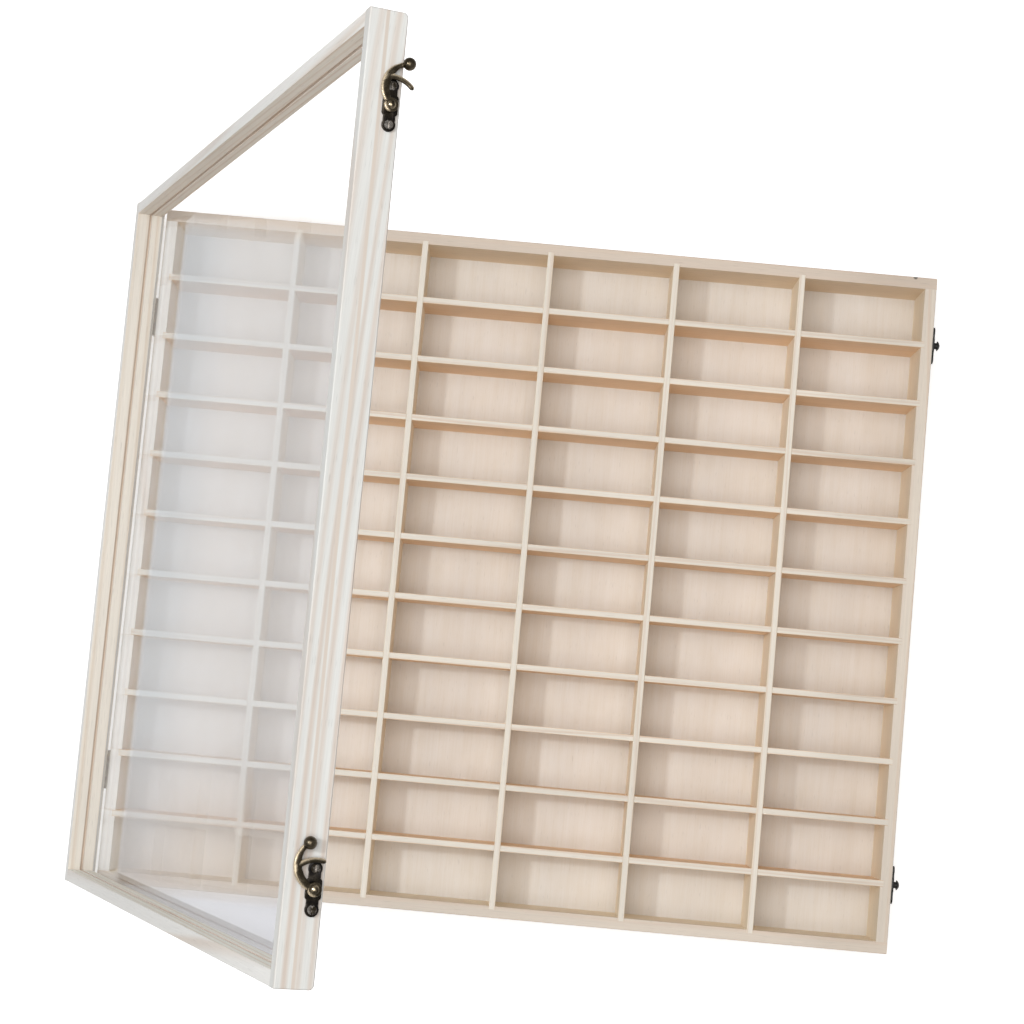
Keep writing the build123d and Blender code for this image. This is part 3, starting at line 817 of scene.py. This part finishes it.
def arm_stations(latch, count=22):
    """The arm bows from the hub to the ball, widest at its middle and narrow at the ball."""
    radius = (latch.reach**2 / 4 + latch.rise**2) / (2 * latch.rise)
    middle = Vector((latch.reach / 2, latch.rise - radius, 0))
    start = math.atan2(-middle.y, -middle.x)
    end = math.atan2(-middle.y, latch.reach - middle.x)
    level = latch.lift + latch.thickness / 2
    stations = []
    for step in range(count):
        way = ARM_START + ARM_SPAN * step / (count - 1)
        angle = start + (end - start) * way
        point = middle + radius * Vector((math.cos(angle), math.sin(angle), 0))
        swell = 0.0
        if way < NECK_START:
            swell = math.sin(math.pi * way / NECK_START) ** SWELL_POWER
        width = latch.neck_width + (latch.arm_width - latch.neck_width) * swell
        neck = max(0.0, (way - NECK_START) / (1 - NECK_START))
        lift = level + (latch.ball_lift - level) * neck**2 * NECK_LIFT
        point.z = lift
        stations.append((point, angle - math.pi / 2, width / 2, latch.thickness / 2))
    return stations


def hook_stations(latch, count=18):
    """The hook is an arc round the rivet that ends in a rounded, thinner tip."""
    level = latch.lift + latch.thickness / 2
    stations = []
    for step in range(count):
        way = step / (count - 1)
        angle = HOOK_ROOT + (HOOK_TIP - HOOK_ROOT) * way
        close = max(0.0, (way - HOOK_TIP_START) / (1 - HOOK_TIP_START))
        taper = math.sqrt(max(0.05, 1 - close * close))
        width = latch.hook_width * (1 - HOOK_NARROWING * way) * taper
        point = latch.hook_radius * Vector((math.cos(angle), math.sin(angle), 0))
        height = latch.thickness / 2 * (0.92 * taper + 0.04)
        point.z = level
        stations.append((point, angle - math.pi / 2, width / 2, height))
    return stations


def hub_ring(mesh, latch):
    """A ring with rounded shoulders round the rivet's hole."""
    low, high = latch.lift, latch.lift + latch.thickness
    inner, outer, ease = latch.bore_radius, latch.hub_radius, HUB_EASE
    outline = [
        (inner, low), (outer - ease, low), (outer, low + ease), (outer, high - ease),
        (outer - ease * 0.4, high - ease * 0.3), (outer - ease * 1.2, high), (inner, high),
    ]
    verts = [mesh.verts.new((x, 0, z)) for x, z in outline]
    edges = [mesh.edges.new(pair) for pair in zip(verts, verts[1:] + verts[:1])]
    bmesh.ops.spin(
        mesh, geom=verts + edges, cent=(0, 0, 0), axis=(0, 0, 1), angle=2 * math.pi,
        steps=40, use_merge=True,
    )


def lever_mesh(latch):
    """The lever's arm, hook, hub and ball, still as separate overlapping shapes."""
    mesh = bmesh.new()
    sweep(mesh, arm_stations(latch))
    sweep(mesh, hook_stations(latch))
    hub_ring(mesh, latch)
    bmesh.ops.create_uvsphere(
        mesh, u_segments=32, v_segments=20, radius=latch.ball_radius,
        matrix=Matrix.Translation((latch.reach, 0, latch.ball_lift)),
    )
    bmesh.ops.remove_doubles(mesh, verts=mesh.verts, dist=0.01 * MM)
    bmesh.ops.recalc_face_normals(mesh, faces=mesh.faces)
    return mesh


def smooth_casting(source, name, voxel, passes):
    """Melts overlapping shapes into one skin, as a casting is."""
    obj = as_object(name, source)
    melt = obj.modifiers.new("Melt", "REMESH")
    melt.mode = "VOXEL"
    melt.voxel_size = voxel
    ease = obj.modifiers.new("Ease", "SMOOTH")
    ease.factor = 0.5
    ease.iterations = passes
    finished = bmesh.new()
    finished.from_object(obj, bpy.context.evaluated_depsgraph_get())
    bpy.data.objects.remove(obj)
    return finished


def mark_rubbed_highlight(casting, latch):
    """Marks how far each point lies towards the outer side of the arm or the hook, where the
    lever is rubbed and a highlight is painted.
    """
    stations = arm_stations(latch) + hook_stations(latch)
    nearest = KDTree(len(stations))
    for index, station in enumerate(stations):
        nearest.insert(station[0], index)
    nearest.balance()
    ball = Vector((latch.reach, 0, latch.ball_lift))
    layer = casting.verts.layers.float.new(RUBBED_HIGHLIGHT)
    for vert in casting.verts:
        point, heading, half_width, _ = stations[nearest.find(vert.co)[1]]
        side = Vector((-math.sin(heading), math.cos(heading), 0))
        outward = (vert.co - point).dot(side) / half_width
        on_ball = (vert.co - ball).length < latch.ball_radius * 1.05
        distance = vert.co.xy.length
        # The painted highlight is set part by part: weaker on the hub, broad across the hook, even
        # on the ball
        if distance < latch.hub_radius * 1.05:
            outward *= 0.6
        elif abs(distance - latch.hook_radius) < latch.hook_width / 2 and not on_ball:
            outward = 0.45 + 0.6 * outward
        shown = 0.4 if on_ball else outward
        vert[layer] = max(0.0, min(1.0, shown))


def lever_matrix(joint, angle):
    """Places a lever on its rivet: X towards the ball, Z out from the rail."""
    out = Vector(joint["axis"]).normalized()
    across = Vector((0, 1, 0))
    up = out.cross(across)
    towards = across * math.cos(angle) + up * math.sin(angle)
    side = out.cross(towards)
    turn = Matrix((towards, side, out)).transposed().to_4x4()
    return Matrix.Translation(Vector(joint["pos_m"])) @ turn


class CASE_OT_tray_boards(Operator):
    """Finishes the tray's walls and its crossed dividers in pine"""

    bl_idname = "display_case.tray_boards"
    bl_label = "Tray boards"

    def execute(self, context):
        wood = settings().wood
        pale, late = wood.tray_pale, wood.tray_late
        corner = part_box("tray_wall_back")[1]
        mark = (corner.x - MARK_INSET, corner.y - MARK_DEPTH, corner.z)
        deep, light = Vector(wood.wall_pale), Vector(pale)
        # Each wall's inner face gets painted shading: painted shade on the back wall, painted
        # light on the front, right and left walls
        walls = {
            "back": ("x", (0.3, 0.262, -0.035), deep, (0, -1, 0), wood.wall_shading, mark),
            "front": (
                "x", (-0.5, -0.255, -0.06), deep.lerp(light, 0.35), (0, 1, 0), wood.end_shading, None
            ),
            "left": ("y", (0.1, 0.235, 0.11), wood.left_pale, (1, 0, 0), wood.left_shading, None),
            "right": (
                "y", (-0.2, -0.31, -0.02), deep.lerp(light, 0.6), (-1, 0, 0), wood.end_shading, None
            ),
        }
        for side, (direction, pith, wall_pale, inner, tone, spot) in walls.items():
            material = pine_material(
                f"Pine tray_wall_{side}", direction, pith, wall_pale, late, wood.ring_width,
                inner, tone, mark=spot,
            )
            cover(f"tray_wall_{side}", material)
        # The dividers' sides get painted shading: painted shade and bounce light in the rows'
        # orange, painted light on the columns' sides
        dividers = {
            "column": ("y", (0.2, 0.9, -0.4), (1, 0, 0), wood.column_shading),
            "row": ("x", (0.2, 0.8, -0.5), (0, 1, 0), wood.row_shading),
        }
        for kind, (direction, pith, inner, tone) in dividers.items():
            material = pine_material(
                f"Pine {kind} dividers", direction, pith, pale, late, wood.ring_width,
                inner, tone, both_ways=True,
            )
            for node in sorted(frame["nodes"]):
                if node.startswith(f"{kind}_divider"):
                    cover(node, material)
        return {"FINISHED"}


class CASE_OT_tray_floor(Operator):
    """Finishes the tray's floor in fine plywood"""

    bl_idname = "display_case.tray_floor"
    bl_label = "Tray floor"

    def execute(self, context):
        cover("floor_panel", plywood_material())
        return {"FINISHED"}


class CASE_OT_lid_frame(Operator):
    """Finishes the lid's four boards in paler pine"""

    bl_idname = "display_case.lid_frame"
    bl_label = "Lid frame"

    def execute(self, context):
        wood = settings().wood
        wide, narrow = wood.lid_ring_width * 1.2, wood.lid_ring_width * 0.6
        rail_pale, rail_late = wood.rail_pale, wood.rail_late
        across = Vector((0, 1, 0)).cross(-LID_ALONG)
        groove = across.dot(Vector(JOINTS["latch_back_swing"]["pos_m"])) + wood.groove_rise
        # The lid boards' inner faces get a painted warm shade, darker still on the stile; the
        # front rail's inner face gets painted light
        inner, sunlit = Vector(wood.lid_shading), Vector(wood.sunlit_tone)
        boards = {
            "lid_free_rail": (
                "lid_y", (0.4, -0.44, 0.06), wood.lid_pale, wood.lid_late, wood.lid_ring_width,
                -LID_ALONG, inner, (wood.lid_slant, wood.lid_bow),
            ),
            "lid_hinge_stile": (
                "lid_y", (-0.3, 0.01, 0.14), wood.stile_pale, wood.stile_late, wide,
                LID_ALONG, inner * 0.875, (-0.01, 0.0),
            ),
            "lid_rail_back": (
                "lid_x", (0.2, 0.24, 0.16), rail_pale, rail_late, narrow,
                (0, -1, 0), inner, (0.01, 0.0),
            ),
            "lid_rail_front": (
                "lid_x", (-0.4, -0.25, 0.15), rail_pale, rail_late, narrow,
                (0, 1, 0), sunlit, (-0.01, 0.0),
            ),
        }
        hollow = {"lid_free_rail": wood.rail_groove, "lid_hinge_stile": wood.stile_groove}
        softness = {"lid_free_rail": 1.0}
        for board, (direction, pith, pale, late, ring_width, inside, tone, bend) in boards.items():
            material = pine_material(
                f"Pine {board}", direction, pith, pale, late, ring_width, inside, tone,
                bend=bend, groove=(groove, hollow.get(board, wood.groove)),
                softness=softness.get(board, 0.0),
            )
            cover(board, material)
        return {"FINISHED"}


class CASE_OT_lid_panel(Operator):
    """Makes the lid's sheet clear"""

    bl_idname = "display_case.lid_panel"
    bl_label = "Lid panel"

    def execute(self, context):
        cover("lid_panel", panel_material())
        return {"FINISHED"}


class CASE_OT_latches(Operator):
    """Models the two swing-hook levers and finishes their straps, rivets and screws"""

    bl_idname = "display_case.latches"
    bl_label = "Latches"

    def execute(self, context):
        metal, latch = settings().metal, settings().latch
        rough = metal.roughness
        # The levers' bronze carries rubbed wear and a painted highlight on their marked outer
        # sides
        bronze = plated_material(
            "Aged bronze", metal.bronze, metal.worn, rough, 0.4, rubbed_highlight_sides=True
        )
        bright = plated_material("Rubbed bronze", metal.bronze, metal.worn, rough - 0.04, 0.9)
        dark = plated_material("Blackened bronze", metal.strap, metal.bronze, rough, 0.6)
        steel = plated_material("Screw bronze", metal.bronze, metal.screw, rough - 0.06, 1.0)
        angles = {"back": latch.back_angle, "front": latch.front_angle}
        for place in PLACES:
            joint = JOINTS[f"latch_{place}_swing"]
            casting = smooth_casting(lever_mesh(latch), "casting", CASTING_VOXEL, CASTING_PASSES)
            mark_rubbed_highlight(casting, latch)
            placed = lever_matrix(joint, angles[place])
            bmesh.ops.transform(casting, matrix=placed, verts=casting.verts)
            new_piece(
                f"lever_{place}", casting, bronze, f"latch_{place}",
                f"latch_{place}_lever",
            )
            rounded_copy(
                f"latch_{place}_strap", f"strap_{place}", "lid", dark, LATCH_EASE
            )
            cover(f"latch_{place}_rivet", bright)
        cover("latch_screws", steel)
        return {"FINISHED"}


class CASE_OT_keepers(Operator):
    """Finishes the two black keepers on the tray"""

    bl_idname = "display_case.keepers"
    bl_label = "Keepers"

    def execute(self, context):
        black = black_material()
        for place in PLACES:
            rounded_copy(
                f"keeper_{place}_strap", f"keeper_plate_{place}", "tray", black,
                KEEPER_EASE,
            )
            cover(f"keeper_{place}_stud", black)
        cover("keeper_screws", black)
        return {"FINISHED"}


class CASE_OT_hinges(Operator):
    """Finishes the two butt hinges and their screws"""

    bl_idname = "display_case.hinges"
    bl_label = "Hinges"

    def execute(self, context):
        metal = settings().metal
        plate = plated_material(
            "Hinge bronze", metal.bronze, metal.hinge, metal.roughness + 0.05, 0.7
        )
        for place in PLACES:
            for part in ("tray_leaf", "lid_leaf", "pin"):
                cover(f"hinge_{place}_{part}", plate)
        cover("tray_hinge_screws", plate)
        cover("lid_hinge_screws", plate)
        return {"FINISHED"}


class CASE_OT_stage(Operator):
    """Sets the pale floor, the soft light and the camera"""

    bl_idname = "display_case.stage"
    bl_label = "Stage"

    def execute(self, context):
        stage = settings().stage
        mesh = bmesh.new()
        bmesh.ops.create_grid(mesh, x_segments=1, y_segments=1, size=stage.floor_size / 2)
        floor = as_object("floor", mesh)
        floor.location.z = CAD_BOX[0][2] - FLOOR_GAP
        floor.data.materials.append(self.floor_material(stage))
        self.add_world(stage)
        self.add_light("key", stage.key_place, stage.key_size, stage.key, stage.key_colour)
        self.add_light("top", stage.top_place, stage.top_size, stage.top, stage.top_colour)
        self.add_camera(context, stage)
        context.scene.view_settings.view_transform = "Standard"
        return {"FINISHED"}

    def floor_material(self, stage):
        material, tree, output, given = new_material("Stage floor")
        plain = add_node(tree, "ShaderNodeBsdfDiffuse", {"Color": (*stage.floor_colour, 1.0)})
        path = tree.nodes.new("ShaderNodeLightPath")
        through = path.outputs["Is Transmission Ray"]
        mirrored = maths(tree, "ADD", path.outputs["Is Glossy Ray"], through, clamp=True)
        away = add_node(
            tree, "ShaderNodeVectorMath", {0: given["Object"]}, operation="LENGTH"
        ).outputs["Value"]
        lifted = remap(tree, away, *stage.glow_band, *stage.glow, smooth=True)
        seen = times(tree, path.outputs["Is Camera Ray"], lifted)
        seen = maths(tree, "MULTIPLY_ADD", mirrored, stage.mirrored, seen)
        lift = add_node(tree, "ShaderNodeEmission", {"Color": (1, 1, 1, 1), "Strength": seen})
        both = tree.nodes.new("ShaderNodeAddShader")
        tree.links.new(plain.outputs[0], both.inputs[0])
        tree.links.new(lift.outputs[0], both.inputs[1])
        tree.links.new(both.outputs[0], output.inputs[0])
        return material

    def add_world(self, stage):
        world = bpy.data.worlds.new("Studio")
        bpy.context.scene.world = world
        world.use_nodes = True
        tree = world.node_tree
        tree.nodes.clear()
        output = tree.nodes.new("ShaderNodeOutputWorld")
        tint = (*stage.sky_colour, 1.0)
        sky = add_node(tree, "ShaderNodeBackground", {"Color": tint, "Strength": stage.sky})
        white = add_node(tree, "ShaderNodeBackground", {"Color": (1, 1, 1, 1)})
        path = tree.nodes.new("ShaderNodeLightPath")
        through = path.outputs["Is Transmission Ray"]
        seen = maths(tree, "ADD", path.outputs["Is Camera Ray"], through, clamp=True)
        mix = add_node(tree, "ShaderNodeMixShader", {0: seen})
        tree.links.new(sky.outputs[0], mix.inputs[1])
        tree.links.new(white.outputs[0], mix.inputs[2])
        tree.links.new(mix.outputs[0], output.inputs[0])

    def add_light(self, name, place, size, strength, tint):
        light = bpy.data.lights.new(name, "AREA")
        light.shape = "DISK"
        light.size = size
        light.energy = strength
        light.color = tint
        lamp = in_scene(name, light)
        lamp.location = place
        towards_case = LAMP_TARGET - Vector(place)
        lamp.rotation_euler = towards_case.to_track_quat("-Z", "Y").to_euler()
        lamp.visible_camera = False

    def add_camera(self, context, stage):
        data = bpy.data.cameras.new("photo view")
        data.sensor_fit = "HORIZONTAL"
        data.sensor_width = 36.0
        data.lens = stage.lens
        data.clip_end = 30.0
        camera = in_scene("photo view", data)
        camera.location = stage.camera
        camera.rotation_euler = Euler(stage.turn, "XYZ")
        context.scene.camera = camera


STEPS = (
    CASE_OT_tray_boards,
    CASE_OT_tray_floor,
    CASE_OT_lid_frame,
    CASE_OT_lid_panel,
    CASE_OT_latches,
    CASE_OT_keepers,
    CASE_OT_hinges,
    CASE_OT_stage,
)


class CASE_PT_sidebar(Panel):
    bl_idname = "CASE_PT_sidebar"
    bl_label = "Display Case"
    bl_space_type = "VIEW_3D"
    bl_region_type = "UI"
    bl_category = "Display Case"

    def draw(self, context):
        for step in STEPS:
            self.layout.operator(step.bl_idname)


CLASSES = (
    CASE_PG_wood,
    CASE_PG_panel,
    CASE_PG_metal,
    CASE_PG_latch,
    CASE_PG_stage,
    CASE_PG_case,
    *STEPS,
    CASE_PT_sidebar,
)


def register():
    for item in CLASSES:
        bpy.utils.register_class(item)
    bpy.types.Scene.display_case = PointerProperty(type=CASE_PG_case)


def unregister():
    del bpy.types.Scene.display_case
    for item in reversed(CLASSES):
        bpy.utils.unregister_class(item)


def main():
    register()
    bpy.ops.display_case.tray_boards()
    bpy.ops.display_case.tray_floor()
    bpy.ops.display_case.lid_frame()
    bpy.ops.display_case.lid_panel()
    bpy.ops.display_case.latches()
    bpy.ops.display_case.keepers()
    bpy.ops.display_case.hinges()
    bpy.ops.display_case.stage()


if __name__ == "__main__":
    main()
